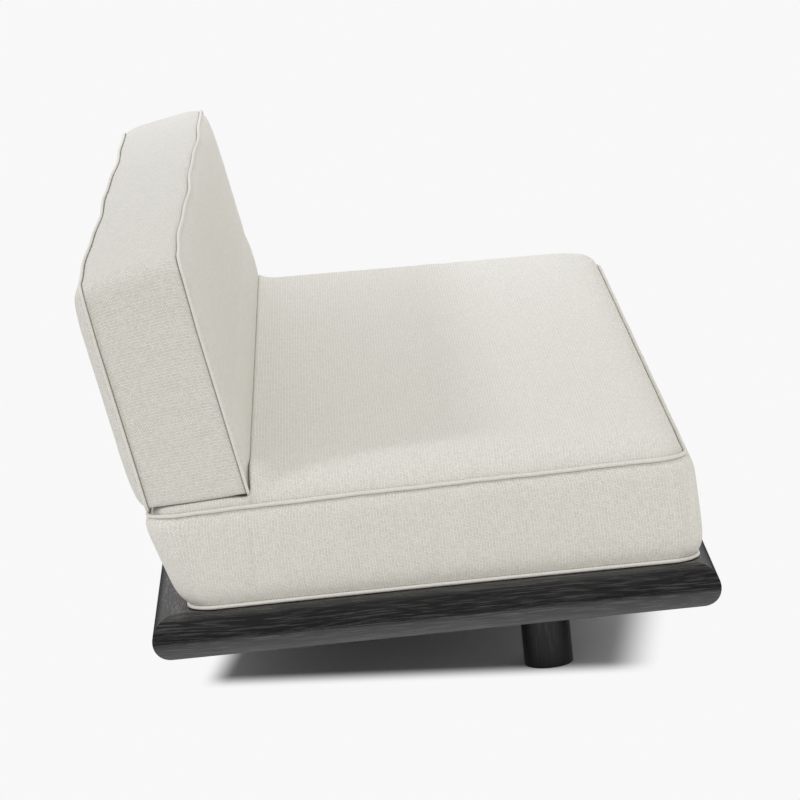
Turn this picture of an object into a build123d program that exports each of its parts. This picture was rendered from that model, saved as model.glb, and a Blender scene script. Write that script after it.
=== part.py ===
from build123d import *
import os
from math import atan, cos, degrees, radians, sin, sqrt, tan

# A low platform sofa. A mitred wooden frame with full-round edges stands on turned legs
# and carries one bench seat cushion. The padded back leans on two bent steel posts that
# go down through slots in the seat into sockets in the rear rail.
# Millimetres, +Z up, front towards -Y, left towards -X for someone facing the sofa.
# The origin is on the floor, under the middle of the whole sofa in plan.

# Base frame
base_length = 2130
base_depth = 920
base_thickness = 75
base_height = 130
rail_width = 140
rabbet_width = 16
deck_thickness = 18
deck_clearance = 0.5
spline_length = 80
spline_width = 40
spline_thickness = 8
spline_from_corner = 85
block_leg = 70
block_drop = 40
bearer_width = 110
tenon_length = 20
tenon_thickness = 25

# Legs
leg_diameter = 82
leg_round = 3
front_leg_from_end = 273
front_leg_from_front = 278
rear_leg_from_end = 645
rear_leg_from_rear = 230
glide_diameter = 60
glide_thickness = 5
glide_stand = 2
plate_size = 100
plate_thickness = 3
plate_screw_spacing = 76
bolt_diameter = 10
bolt_in_leg = 45
bolt_in_bearer = 40

# Wood screws
screw_diameter = 4
screw_head_diameter = 8
screw_head_height = 2
plate_screw_length = 28
deck_screw_length = 40
deck_screw_from_rail = 40
socket_screw_length = 25

# Covers and piping
cover_thickness = 4
foam_clearance = 0.3
piping_radius = 3.5
piping_gap = 0.2
rest_clearance = 0.3
draw_in = 4

# Seat cushion, measured to its seams
seat_end_inset = 38
seat_front_bottom_inset = 30
seat_rear_bottom_inset = 65
seat_front_top_inset = 37
seat_rear_top_inset = 15
seat_boxing = 152
seat_rake = 0.9
seat_corner = 42
seat_bulge = 14
seat_end_bulge = 9
seat_crown = 62
seat_crown_reach = 105
seat_crest_rake = -1.2
boxing_swell = ((0.12, 0.6), (0.5, 1.0), (0.93, 0.85))
seat_cord_angle = 30
seat_cord_gap = 0.75
belly_inset = 25

# Back cushion, measured to its seams
back_end_inset = 42
back_lean = 10.8
back_thickness = 160
back_height = 377
back_front_drop = 23
back_rise = 16
back_corner = 28
back_bulge = 6
back_front_crown = 18
back_rear_crown = 20
back_crown_share = 0.38
crown_shares = (0.06, 0.22, 0.48, 0.76, 1.0)

# Frame inside the back
timber_width = 60
timber_thickness = 25
frame_end_margin = 60
frame_top_margin = 40
frame_bottom_margin = 25
frame_from_rear_seam = 50
panel_thickness = 5

# Posts that carry the back, and their sockets
post_from_end = 430
post_width = 40
post_depth = 20
post_bend_radius = 60
post_bend_below_back = 8
post_top_margin = 20
post_clearance = 0.5
socket_depth = 60
socket_wall = 3
flange_overlap = 18
flange_margin = 6
flange_from_rabbet = 4.5
flange_thickness = 3
lining_thickness = 2
lining_clearance = 1
post_bolt_diameter = 8
bolt_head_diameter = 16
bolt_head_height = 4
nut_diameter = 14
nut_height = 6

# Zips
zip_from_ends = 130
zip_tape_width = 30
zip_tape_thickness = 2.5
zip_proud = 1
teeth_width = 5
teeth_height = 2
stop_length = 4
stop_width = 7
slider_length = 14
slider_width = 11
slider_wall = 1.8
slider_gap = 0.35
bridge_radius = 1
bridge_rise = 3
bridge_foot = 2
pull_gap = 0.4
pull_wall = 1
pull_width = 6
pull_thickness = 1.6
pull_length = 30

# Places worked out from the sizes above
base_top = base_height + base_thickness
bullnose = base_thickness / 2
base_end = base_length / 2

# Each cord of piping lies diagonally outside its seam, this far out and this far up or down
piping_offset = (piping_radius + piping_gap) / sqrt(2)

# The seat's upper cord lies lower, between the steep edge of the crown and the swell of the boxing
seat_cord_out = (piping_radius + seat_cord_gap) * cos(radians(seat_cord_angle))
seat_cord_up = (piping_radius + seat_cord_gap) * sin(radians(seat_cord_angle))

# The posts stand in the rear rail, so the lean and height of the back decide how far it overhangs
lean_sine = sin(radians(back_lean))
lean_cosine = cos(radians(back_lean))
socket_hole_width = post_width + 2 * post_clearance
socket_hole_depth = post_depth + 2 * post_clearance
sleeve_width = socket_hole_width + 2 * socket_wall
sleeve_depth = socket_hole_depth + 2 * socket_wall
flange_width = sleeve_width + 2 * flange_overlap
flange_depth = sleeve_depth + 2 * flange_margin
post_from_rear = rail_width - rabbet_width - flange_from_rabbet - flange_depth / 2
frame_rear = frame_from_rear_seam
frame_front = frame_rear + timber_thickness
post_line = frame_front + post_depth / 2
bend_up = -(back_height + post_bend_below_back)
back_top_behind = post_line * lean_cosine - bend_up * lean_sine - post_from_rear
back_overhang = back_top_behind + piping_radius + piping_offset * (lean_cosine + lean_sine)

# The frame's sides and the places of the legs
base_front = -(base_depth + back_overhang) / 2
base_rear = base_front + base_depth
base_middle = (base_front + base_rear) / 2
rail_inner_end = base_end - rail_width
rail_inner_front = base_front + rail_width
rail_inner_rear = base_rear - rail_width
deck_bottom = base_top - deck_thickness
bearer_bottom = base_height + plate_thickness
front_leg_x = base_end - front_leg_from_end
rear_leg_x = base_end - rear_leg_from_end
front_leg_y = base_front + front_leg_from_front
rear_leg_y = base_rear - rear_leg_from_rear
leg_places = {
    "front_left": (-front_leg_x, front_leg_y),
    "front_right": (front_leg_x, front_leg_y),
    "rear_left": (-rear_leg_x, rear_leg_y),
    "rear_right": (rear_leg_x, rear_leg_y),
}
bearer_places = {
    "left_outer": -front_leg_x,
    "left_inner": -rear_leg_x,
    "right_inner": rear_leg_x,
    "right_outer": front_leg_x,
}

# The seams of the seat
seat_half = base_end - seat_end_inset
seat_front_bottom = base_front + seat_front_bottom_inset
seat_rear_bottom = base_rear - seat_rear_bottom_inset
seat_front_top = base_front + seat_front_top_inset
seat_rear_top = base_rear - seat_rear_top_inset
belly_depth = piping_offset + piping_radius
seat_seam_low = base_top + rest_clearance + belly_depth
seat_seam_rear = seat_seam_low + seat_boxing
seat_rear_swell = (seat_rear_bottom + seat_rear_top) / 2 + seat_bulge
seat_seam_middle = seat_seam_rear + seat_rear_top * tan(radians(seat_rake))
seat_swell_middle = (seat_seam_low + seat_seam_middle) / 2

# The seams of the back, and the frame inside it
back_half = base_end - back_end_inset
back_front_height = back_height + back_front_drop
back_top_y = base_rear + back_top_behind
back_top_z = seat_seam_rear + back_rise + back_height * lean_cosine
back_crown_reach = back_height * back_crown_share
frame_half = back_half - frame_end_margin
frame_bottom = -back_height + frame_bottom_margin
post_x = base_end - post_from_end


def tilted_plane(y, z, angle):
    """A plane through (0, y, z) with X along it and its normal leaning from up towards the rear."""
    return Plane((0, y, z), x_dir=(1, 0, 0), z_dir=(0, sin(radians(angle)), cos(radians(angle))))


def back_point(forward, up):
    """The Y and Z of a place in the back, forward from its rear seam and up from its top seam."""
    y = back_top_y - forward * lean_cosine + up * lean_sine
    z = back_top_z + forward * lean_sine + up * lean_cosine
    return (y, z)


def cushion_outline(plane, half, low, high, corner):
    """A cushion's outline on a plane: two straight long sides, two ends drawn in, rounded corners."""
    with BuildSketch(plane) as outline:
        with BuildLine():
            Line((-half, low), (half, low))
            SagittaArc((half, low), (half, high), draw_in)
            Line((half, high), (-half, high))
            SagittaArc((-half, high), (-half, low), draw_in)
        make_face()
        fillet(outline.vertices(), corner)
    return outline.sketch


def crown_steps(rise, reach):
    """Height above the seam and distance in from it, along a quarter ellipse."""
    return [(rise * sqrt(1 - (1 - share) ** 2), reach * share) for share in crown_shares]


# The seat's seams lie in two planes: level at the bottom, and raked at the top
seat_low_plane = tilted_plane(0, seat_seam_low, 0)
seat_top_plane = tilted_plane(0, seat_seam_middle, seat_rake)


def seat_outline(plane, front, rear, inset, half=seat_half):
    """One outline of the seat cushion, drawn in all round by the inset."""
    corner = seat_corner - min(inset, 0)
    return cushion_outline(plane, half - inset, front + inset, rear - inset, corner)


def seat_sections(skin):
    """Outlines of the seat's belly, boxing and crown, all of them the skin's depth inside."""
    low = seat_outline(seat_low_plane, seat_front_bottom, seat_rear_bottom, skin)
    top = seat_outline(seat_top_plane, seat_front_top, seat_rear_top, skin)
    belly_plane = seat_low_plane.offset(skin - belly_depth)
    belly = seat_outline(belly_plane, seat_front_bottom, seat_rear_bottom, belly_inset + skin)
    boxing = [low]
    for up, swell in boxing_swell:
        plane = tilted_plane(0, seat_seam_low + up * (seat_seam_middle - seat_seam_low), up * seat_rake)
        front = seat_front_bottom + up * (seat_front_top - seat_front_bottom) - swell * seat_bulge
        rear = seat_rear_bottom + up * (seat_rear_top - seat_rear_bottom) + swell * seat_bulge
        boxing.append(seat_outline(plane, front, rear, skin, seat_half + swell * seat_end_bulge))
    boxing.append(top)
    crown = [top]
    for rise, distance in crown_steps(seat_crown - skin, seat_crown_reach):
        rake = seat_rake + (seat_crest_rake - seat_rake) * rise / seat_crown
        plane = tilted_plane(0, seat_seam_middle + rise, rake)
        crown.append(seat_outline(plane, seat_front_top, seat_rear_top, distance + skin))
    return [belly, low], boxing, crown


# The back's planes face the sitter; each is a distance forward from the rear seam
back_plane = Plane((0, back_top_y, back_top_z), x_dir=(1, 0, 0), z_dir=(0, -lean_cosine, lean_sine))


def back_outline(forward, inset, height, swell=0):
    """One outline of the back at a distance forward from the rear seam, drawn in by the inset."""
    plane = back_plane.offset(forward)
    corner = back_corner - min(inset, 0)
    return cushion_outline(plane, back_half + swell - inset, inset - height, swell - inset, corner)


def back_sections(skin):
    """Outlines of the back's boxing, front crown and rear crown, all of them the skin's depth inside."""
    middle_height = (back_height + back_front_height) / 2
    rear = back_outline(0, skin, back_height)
    middle = back_outline(back_thickness / 2, skin, middle_height, back_bulge)
    front = back_outline(back_thickness, skin, back_front_height)
    front_crown = [front]
    for rise, distance in crown_steps(back_front_crown - skin, back_crown_reach):
        front_crown.append(back_outline(back_thickness + rise, distance + skin, back_front_height))
    rear_crown = [rear]
    for rise, distance in crown_steps(back_rear_crown - skin, back_crown_reach):
        rear_crown.append(back_outline(-rise, distance + skin, back_height))
    return [rear, middle, front], front_crown, rear_crown


pieces = []

# Legs with their glides, bolts and plates
with BuildPart() as glides:
    with Locations(*leg_places.values()):
        Cylinder(glide_diameter / 2, glide_thickness, align=(Align.CENTER, Align.CENTER, Align.MIN))
glides.part.label = "glides"
pieces.append(glides.part)

with BuildPart() as hanger_bolts:
    with BuildSketch(Plane.XY.offset(base_height - bolt_in_leg)):
        with Locations(*leg_places.values()):
            Circle(bolt_diameter / 2)
    extrude(amount=bolt_in_leg + plate_thickness + bolt_in_bearer)
hanger_bolts.part.label = "hanger_bolts"
pieces.append(hanger_bolts.part)

for name, place in leg_places.items():
    with BuildPart() as leg:
        with BuildSketch(Plane.XY.offset(glide_stand)):
            with Locations(place):
                Circle(leg_diameter / 2)
        extrude(amount=base_height - glide_stand)
        fillet(leg.edges().group_by(Axis.Z)[0], leg_round)
        add(hanger_bolts.part, mode=Mode.SUBTRACT)
        add(glides.part, mode=Mode.SUBTRACT)
    leg.part.label = f"{name}_leg"
    pieces.append(leg.part)

with BuildPart() as plate_screws:
    with Locations(*[(x, y, base_height) for x, y in leg_places.values()]):
        with GridLocations(plate_screw_spacing, plate_screw_spacing, 2, 2):
            Cylinder(screw_diameter / 2, plate_screw_length, align=(Align.CENTER, Align.CENTER, Align.MIN))
            Cone(
                screw_head_diameter / 2,
                screw_diameter / 2,
                screw_head_height,
                align=(Align.CENTER, Align.CENTER, Align.MIN),
            )
plate_screws.part.label = "plate_screws"
pieces.append(plate_screws.part)

with BuildPart() as leg_plates:
    with BuildSketch(Plane.XY.offset(base_height)):
        with Locations(*leg_places.values()):
            Rectangle(plate_size, plate_size)
    extrude(amount=plate_thickness)
    add(hanger_bolts.part, mode=Mode.SUBTRACT)
    add(plate_screws.part, mode=Mode.SUBTRACT)
leg_plates.part.label = "leg_plates"
pieces.append(leg_plates.part)

# Deck panel, its screws and the bearers under it
deck_screw_front = rail_inner_front + deck_screw_from_rail
deck_screw_rear = rail_inner_rear - deck_screw_from_rail
with BuildPart() as deck_screws:
    for x in bearer_places.values():
        for y in (deck_screw_front, base_middle, deck_screw_rear):
            with Locations(Location((x, y, base_top), (180, 0, 0))):
                Cylinder(screw_diameter / 2, deck_screw_length, align=(Align.CENTER, Align.CENTER, Align.MIN))
                Cone(
                    screw_head_diameter / 2,
                    screw_diameter / 2,
                    screw_head_height,
                    align=(Align.CENTER, Align.CENTER, Align.MIN),
                )
deck_screws.part.label = "deck_screws"
pieces.append(deck_screws.part)

deck_edge = rabbet_width - deck_clearance
with BuildPart() as deck_panel:
    with BuildSketch(Plane.XY.offset(deck_bottom)):
        with Locations((0, base_middle)):
            Rectangle(2 * (rail_inner_end + deck_edge), rail_inner_rear - rail_inner_front + 2 * deck_edge)
    extrude(amount=deck_thickness)
    add(deck_screws.part, mode=Mode.SUBTRACT)
deck_panel.part.label = "deck_panel"
pieces.append(deck_panel.part)

bearers = []
bearer_span = rail_inner_rear - rail_inner_front
for name, x in bearer_places.items():
    with BuildPart() as bearer:
        with BuildSketch(Plane.XY.offset(bearer_bottom)):
            with Locations((x, base_middle)):
                Rectangle(bearer_width, bearer_span)
        extrude(amount=deck_bottom - bearer_bottom)
        with BuildSketch(Plane.XY.offset((bearer_bottom + deck_bottom - tenon_thickness) / 2)):
            with Locations((x, base_middle)):
                Rectangle(bearer_width / 2, bearer_span + 2 * tenon_length)
        extrude(amount=tenon_thickness)
        add(hanger_bolts.part, mode=Mode.SUBTRACT)
        add(plate_screws.part, mode=Mode.SUBTRACT)
        add(deck_screws.part, mode=Mode.SUBTRACT)
    bearer.part.label = f"{name}_bearer"
    bearers.append(bearer.part)
pieces.extend(bearers)

# Splines across the mitres and glued blocks inside the corners
with BuildPart() as mitre_splines:
    for side_x in (-1, 1):
        for side_y in (-1, 1):
            center = (
                side_x * (base_end - spline_from_corner),
                base_middle + side_y * (base_depth / 2 - spline_from_corner),
                base_height + base_thickness / 2,
            )
            with BuildSketch(Plane(center, x_dir=(side_x, side_y, 0), z_dir=(0, 0, 1))):
                Rectangle(spline_length, spline_width)
    extrude(amount=spline_thickness / 2, both=True)
mitre_splines.part.label = "mitre_splines"
pieces.append(mitre_splines.part)

with BuildPart() as corner_blocks:
    for side_x in (-1, 1):
        for side_y in (-1, 1):
            corner = (side_x * rail_inner_end, base_middle + side_y * bearer_span / 2)
            with BuildSketch(Plane.XY.offset(deck_bottom - block_drop)):
                with BuildLine():
                    Polyline(
                        corner,
                        (corner[0] - side_x * block_leg, corner[1]),
                        (corner[0], corner[1] - side_y * block_leg),
                        close=True,
                    )
                make_face()
    extrude(amount=block_drop)
    add(bearers, mode=Mode.SUBTRACT)
corner_blocks.part.label = "corner_blocks"
pieces.append(corner_blocks.part)

# The posts' line: upright through the seat, then bent to lie along the back's lean
bend_y, bend_z = back_point(post_line, bend_up)
post_end_y, post_end_z = back_point(post_line, -frame_top_margin - post_top_margin)
socket_bottom = base_top - socket_depth
socket_places = [(-post_x, bend_y), (post_x, bend_y)]
flange_screw_x = sleeve_width / 2 + flange_overlap / 2
flange_screw_y = sleeve_depth / 2 - screw_head_diameter / 2

with BuildPart() as socket_screws:
    for x, y in socket_places:
        for dx in (-flange_screw_x, flange_screw_x):
            for dy in (-flange_screw_y, flange_screw_y):
                with Locations(Location((x + dx, y + dy, base_top), (180, 0, 0))):
                    Cylinder(
                        screw_diameter / 2,
                        socket_screw_length,
                        align=(Align.CENTER, Align.CENTER, Align.MIN),
                    )
                    Cone(
                        screw_head_diameter / 2,
                        screw_diameter / 2,
                        screw_head_height,
                        align=(Align.CENTER, Align.CENTER, Align.MIN),
                    )
socket_screws.part.label = "socket_screws"
pieces.append(socket_screws.part)

with BuildPart() as socket_blanks:
    with BuildSketch(Plane.XY.offset(socket_bottom)):
        with Locations(*socket_places):
            Rectangle(sleeve_width, sleeve_depth)
    extrude(amount=socket_depth)
    with BuildSketch(Plane.XY.offset(base_top - flange_thickness)):
        with Locations(*socket_places):
            Rectangle(flange_width, flange_depth)
    extrude(amount=flange_thickness)

with BuildPart() as post_sockets:
    add(socket_blanks.part)
    with BuildSketch(Plane.XY.offset(socket_bottom)):
        with Locations(*socket_places):
            Rectangle(socket_hole_width, socket_hole_depth)
    extrude(amount=socket_depth, mode=Mode.SUBTRACT)
    add(socket_screws.part, mode=Mode.SUBTRACT)
post_sockets.part.label = "post_sockets"
pieces.append(post_sockets.part)

# Mitred rails: one bullnose profile, drawn inward from the outer edge and up from the underside
rail_sides = {
    "front": (Vector(0, base_front, base_height), Vector(0, 1, 0), base_length),
    "rear": (Vector(0, base_rear, base_height), Vector(0, -1, 0), base_length),
    "left": (Vector(-base_end, base_middle, base_height), Vector(1, 0, 0), base_depth),
    "right": (Vector(base_end, base_middle, base_height), Vector(-1, 0, 0), base_depth),
}
for name, (outer, inward, length) in rail_sides.items():
    along = inward.cross(Vector(0, 0, 1))
    with BuildPart() as rail:
        with BuildSketch(Plane(outer, x_dir=inward, z_dir=along)):
            with BuildLine():
                ThreePointArc((bullnose, base_thickness), (0, bullnose), (bullnose, 0))
                Polyline(
                    (bullnose, 0),
                    (rail_width, 0),
                    (rail_width, base_thickness - deck_thickness),
                    (rail_width - rabbet_width, base_thickness - deck_thickness),
                    (rail_width - rabbet_width, base_thickness),
                    (bullnose, base_thickness),
                )
            make_face()
        extrude(amount=length / 2, both=True)
        for end in (-1, 1):
            split(bisect_by=Plane(outer + along * (end * length / 2), z_dir=inward + along * end), keep=Keep.BOTTOM)
        add(mitre_splines.part, mode=Mode.SUBTRACT)
        add(bearers, mode=Mode.SUBTRACT)
        add(socket_blanks.part, mode=Mode.SUBTRACT)
        add(socket_screws.part, mode=Mode.SUBTRACT)
    rail.part.label = f"{name}_rail"
    pieces.append(rail.part)

# Zips: the seat's runs along its rear boxing, the back's low across its rear panel
boxing_angle = 90 + degrees(atan((seat_rear_top - seat_rear_bottom) / seat_boxing))
seat_zip_z = seat_swell_middle - seat_rear_swell * tan(radians(seat_rake / 2))
back_zip_rise, back_zip_up = crown_steps(back_rear_crown, back_crown_reach)[1]
back_zip_y, back_zip_z = back_point(-back_zip_rise, back_zip_up - back_height)
zips = {
    "seat": (tilted_plane(seat_rear_swell, seat_zip_z, boxing_angle), 2 * (seat_half - zip_from_ends)),
    "back": (tilted_plane(back_zip_y, back_zip_z, 90 + back_lean), 2 * (back_half - zip_from_ends)),
}
zip_tapes = {}
for name, (surface, length) in zips.items():
    tape_plane = surface.offset(zip_proud)
    with BuildPart() as zip_tape:
        with BuildSketch(tape_plane):
            Rectangle(length, zip_tape_width)
        extrude(amount=-zip_tape_thickness)
        with BuildSketch(tape_plane):
            Rectangle(length, teeth_width)
            with GridLocations(length - stop_length, 0, 2, 1):
                Rectangle(stop_length, stop_width)
        extrude(amount=teeth_height)
    zip_tape.part.label = f"{name}_zip"
    pieces.append(zip_tape.part)
    zip_tapes[name] = zip_tape.part

    slider_x = length / 2 - stop_length - slider_gap - slider_length / 2
    channel_top = teeth_height + slider_gap
    slider_top = channel_top + slider_wall
    bridge_height = slider_top + bridge_rise
    with BuildPart() as slider:
        with BuildSketch(tape_plane.offset(slider_gap)):
            with Locations((slider_x, 0)):
                Rectangle(slider_length, slider_width)
        extrude(amount=slider_top - slider_gap)
        with BuildSketch(tape_plane):
            with Locations((slider_x, 0)):
                Rectangle(slider_length, teeth_width + 2 * slider_gap)
        extrude(amount=channel_top, mode=Mode.SUBTRACT)
        with BuildSketch(tape_plane.offset(slider_top)):
            with Locations((slider_x, 0)):
                with GridLocations(slider_length - bridge_foot, 0, 2, 1):
                    Rectangle(bridge_foot, 2 * bridge_radius)
        extrude(amount=bridge_rise)
        bridge = tape_plane.from_local_coords(Vector(slider_x, 0, bridge_height))
        bridge_plane = Plane(bridge, x_dir=(0, 1, 0), z_dir=(1, 0, 0))
        with BuildSketch(bridge_plane):
            Circle(bridge_radius)
        extrude(amount=slider_length / 2, both=True)
    slider.part.label = f"{name}_zip_slider"
    pieces.append(slider.part)

    with BuildPart() as pull:
        with BuildSketch(bridge_plane):
            Circle(bridge_radius + pull_gap + pull_wall)
            with Locations((0, -pull_length / 2)):
                Rectangle(pull_thickness, pull_length)
            Circle(bridge_radius + pull_gap, mode=Mode.SUBTRACT)
        extrude(amount=pull_width / 2, both=True)
    pull.part.label = f"{name}_zip_pull"
    pieces.append(pull.part)
    print(f"{name} zip: bridge at {bridge}, travel {length - 2 * (stop_length + slider_gap) - slider_length:.2f}")

# Piping round the cushions' seams, each cord just outside its seam
seat_low_cord = seat_outline(
    seat_low_plane.offset(-piping_offset), seat_front_bottom, seat_rear_bottom, -piping_offset
)
seat_top_cord = seat_outline(
    seat_top_plane.offset(seat_cord_up), seat_front_top, seat_rear_top, -seat_cord_out
)
cords = {
    "seat_bottom_piping": seat_low_cord,
    "seat_top_piping": seat_top_cord,
    "back_rear_piping": back_outline(-piping_offset, -piping_offset, back_height),
    "back_front_piping": back_outline(back_thickness + piping_offset, -piping_offset, back_front_height),
}
for name, seam in cords.items():
    path = seam.face().outer_wire()
    with BuildPart() as cord:
        with BuildSketch(Plane(path @ 0, z_dir=path % 0)):
            Circle(piping_radius)
        sweep(path=path)
    cord.part.label = name
    pieces.append(cord.part)

# Seat cushion: its outer shape and its foam, both pressed down by the back's underside
underside_front = back_point(back_thickness + piping_offset, -back_front_height - piping_offset)
underside_rear = back_point(-piping_offset, -back_height - piping_offset)
underside_slope = (underside_rear[1] - underside_front[1]) / (underside_rear[0] - underside_front[0])


def pressed_region(skin):
    """Outline, in Y and Z, of the space that the back takes up over the seat and in front of its face."""
    drop = piping_radius + rest_clearance + skin
    front_y = underside_front[0] - drop
    front_z = underside_front[1] - drop
    rear_y = base_rear + back_overhang
    rear_z = front_z + underside_slope * (rear_y - front_y)
    return [(front_y, front_z), (rear_y, rear_z), (rear_y, back_top_z), (front_y, back_top_z)]


def slot_sketch(wall):
    """The two post slots in plan, widened by a wall on every side."""
    with BuildSketch(Plane.XY.offset(base_top)) as slots:
        with Locations(*socket_places):
            margin = 2 * (lining_clearance + wall)
            Rectangle(post_width + margin, post_depth + margin)
    return slots.sketch


slot_height = seat_seam_rear + seat_crown + back_rise - base_top
foam_skin = cover_thickness + foam_clearance
seat_forms = []
for skin in (0, cover_thickness, foam_skin):
    belly, boxing, crown = seat_sections(skin)
    with BuildPart() as seat_form:
        loft(sections=boxing)
        loft(sections=belly, ruled=True)
        loft(sections=crown)
        with BuildSketch(Plane.YZ):
            with BuildLine():
                Polyline(*pressed_region(skin), close=True)
            make_face()
        extrude(amount=base_end, both=True, mode=Mode.SUBTRACT)
    seat_forms.append(seat_form.part)
seat_shape, seat_hollow, seat_core = seat_forms

with BuildPart() as seat_foam:
    add(seat_core)
    extrude(slot_sketch(lining_thickness), amount=slot_height, mode=Mode.SUBTRACT)
seat_foam.part.label = "seat_foam"
pieces.append(seat_foam.part)

with BuildPart() as seat_slot_linings:
    extrude(slot_sketch(lining_thickness), amount=slot_height)
    extrude(slot_sketch(0), amount=slot_height, mode=Mode.SUBTRACT)
    add(seat_shape, mode=Mode.INTERSECT)
seat_slot_linings.part.label = "seat_slot_linings"
pieces.append(seat_slot_linings.part)

with BuildPart() as seat_cover:
    add(seat_shape)
    add(seat_hollow, mode=Mode.SUBTRACT)
    extrude(slot_sketch(lining_thickness), amount=slot_height, mode=Mode.SUBTRACT)
    add(zip_tapes["seat"], mode=Mode.SUBTRACT)
seat_cover.part.label = "seat_cover"
pieces.append(seat_cover.part)

# Timber frame inside the back, in the back's own plane
frame_pieces = []
frame_height = -frame_top_margin - frame_bottom
frame_middle = (frame_bottom - frame_top_margin) / 2
stile_height = frame_height - 2 * timber_width
stile_end_x = frame_half - timber_width / 2
timbers = {
    "back_top_rail": ((0, -frame_top_margin - timber_width / 2), (2 * frame_half, timber_width)),
    "back_bottom_rail": ((0, frame_bottom + timber_width / 2), (2 * frame_half, timber_width)),
    "back_left_stile": ((-stile_end_x, frame_middle), (timber_width, stile_height)),
    "back_middle_stile": ((0, frame_middle), (timber_width, stile_height)),
    "back_right_stile": ((stile_end_x, frame_middle), (timber_width, stile_height)),
}
bolt_places = []
for x in (-post_x, post_x):
    bolt_places.append((x, -frame_top_margin - timber_width / 2))
    bolt_places.append((x, frame_bottom + timber_width / 2))
panel_rear = frame_rear - panel_thickness
post_front = frame_front + post_depth

with BuildPart() as post_bolts:
    with BuildSketch(back_plane.offset(panel_rear - nut_height)):
        with Locations(*bolt_places):
            Circle(post_bolt_diameter / 2)
    extrude(amount=post_front - panel_rear + nut_height)
    with BuildSketch(back_plane.offset(post_front)):
        with Locations(*bolt_places):
            Circle(bolt_head_diameter / 2)
    extrude(amount=bolt_head_height)
post_bolts.part.label = "post_bolts"
frame_pieces.append(post_bolts.part)

with BuildPart() as post_nuts:
    with BuildSketch(back_plane.offset(panel_rear - nut_height)):
        with Locations(*bolt_places):
            RegularPolygon(nut_diameter / 2, 6)
            Circle(post_bolt_diameter / 2, mode=Mode.SUBTRACT)
    extrude(amount=nut_height)
post_nuts.part.label = "post_nuts"
frame_pieces.append(post_nuts.part)

for name, (place, size) in timbers.items():
    with BuildPart() as timber:
        with BuildSketch(back_plane.offset(frame_rear)):
            with Locations(place):
                Rectangle(*size)
        extrude(amount=timber_thickness)
        add(post_bolts.part, mode=Mode.SUBTRACT)
    timber.part.label = name
    frame_pieces.append(timber.part)

with BuildPart() as back_panel:
    with BuildSketch(back_plane.offset(panel_rear)):
        with Locations((0, frame_middle)):
            Rectangle(2 * frame_half, frame_height)
    extrude(amount=panel_thickness)
    add(post_bolts.part, mode=Mode.SUBTRACT)
back_panel.part.label = "back_panel"
frame_pieces.append(back_panel.part)

for name, x in (("left_post", -post_x), ("right_post", post_x)):
    with BuildPart() as post:
        with BuildLine(Plane.YZ.offset(x)) as post_path:
            FilletPolyline(
                (bend_y, socket_bottom + rest_clearance),
                (bend_y, bend_z),
                (post_end_y, post_end_z),
                radius=post_bend_radius,
            )
        with BuildSketch(Plane((x, bend_y, socket_bottom + rest_clearance), z_dir=(0, 0, 1))):
            Rectangle(post_width, post_depth)
        sweep(path=post_path.wire())
        add(post_bolts.part, mode=Mode.SUBTRACT)
    post.part.label = name
    frame_pieces.append(post.part)
pieces.extend(frame_pieces)

# Back cushion: foam in front of the frame and behind it, and the cover round both
back_forms = []
for skin in (0, cover_thickness, foam_skin):
    boxing, front_crown, rear_crown = back_sections(skin)
    with BuildPart() as back_form:
        loft(sections=boxing)
        loft(sections=front_crown)
        loft(sections=rear_crown)
    back_forms.append(back_form.part)
back_shape, back_hollow, back_core = back_forms

foam_split = back_plane.offset(frame_rear)
for name, kept in (("back_front_foam", Keep.TOP), ("back_rear_foam", Keep.BOTTOM)):
    with BuildPart() as foam:
        add(back_core)
        split(bisect_by=foam_split, keep=kept)
        add(frame_pieces, mode=Mode.SUBTRACT)
    foam.part.label = name
    pieces.append(foam.part)

with BuildPart() as back_cover:
    add(back_shape)
    add(back_hollow, mode=Mode.SUBTRACT)
    add(frame_pieces[-2:], mode=Mode.SUBTRACT)
    add(zip_tapes["back"], mode=Mode.SUBTRACT)
back_cover.part.label = "back_cover"
pieces.append(back_cover.part)

os.makedirs("parts", exist_ok=True)
for piece in pieces:
    export_step(piece, f"parts/{piece.label}.step")
print(f"{len(pieces)} pieces, front legs at Y {front_leg_y:.3f}, rear legs at Y {rear_leg_y:.3f}")
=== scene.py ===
# %% [markdown]
# This lesson dresses a low platform sofa: a black wooden base on round legs, one bench seat
# cushion and one leaning back cushion in off-white slubby cloth. The hard parts come ready
# made in the frame, so the work here is upholstery, finishes, light and a camera.

# %% Load the frame
import bpy
import numpy as np
from mathutils import Matrix, Vector


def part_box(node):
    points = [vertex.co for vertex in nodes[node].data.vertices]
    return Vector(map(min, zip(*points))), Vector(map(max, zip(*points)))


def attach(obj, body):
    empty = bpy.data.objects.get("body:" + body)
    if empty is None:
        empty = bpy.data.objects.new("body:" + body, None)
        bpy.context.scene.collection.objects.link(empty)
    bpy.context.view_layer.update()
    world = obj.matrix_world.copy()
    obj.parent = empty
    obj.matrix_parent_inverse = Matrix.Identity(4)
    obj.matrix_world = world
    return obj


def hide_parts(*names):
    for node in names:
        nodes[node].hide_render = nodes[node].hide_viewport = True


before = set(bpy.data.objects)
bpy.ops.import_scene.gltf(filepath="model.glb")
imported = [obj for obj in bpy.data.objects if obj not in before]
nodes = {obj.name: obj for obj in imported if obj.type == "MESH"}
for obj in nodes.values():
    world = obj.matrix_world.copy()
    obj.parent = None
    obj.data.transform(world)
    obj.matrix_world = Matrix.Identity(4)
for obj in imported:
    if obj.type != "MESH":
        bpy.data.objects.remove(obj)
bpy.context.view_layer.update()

# %% [markdown]
# The photograph was taken with a long lens from beyond the left end, a little above the seat,
# with the camera rolled slightly. A camera could be aimed with a constraint, but writing its
# three axes down keeps the roll exact and leaves nothing to solve.


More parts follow.
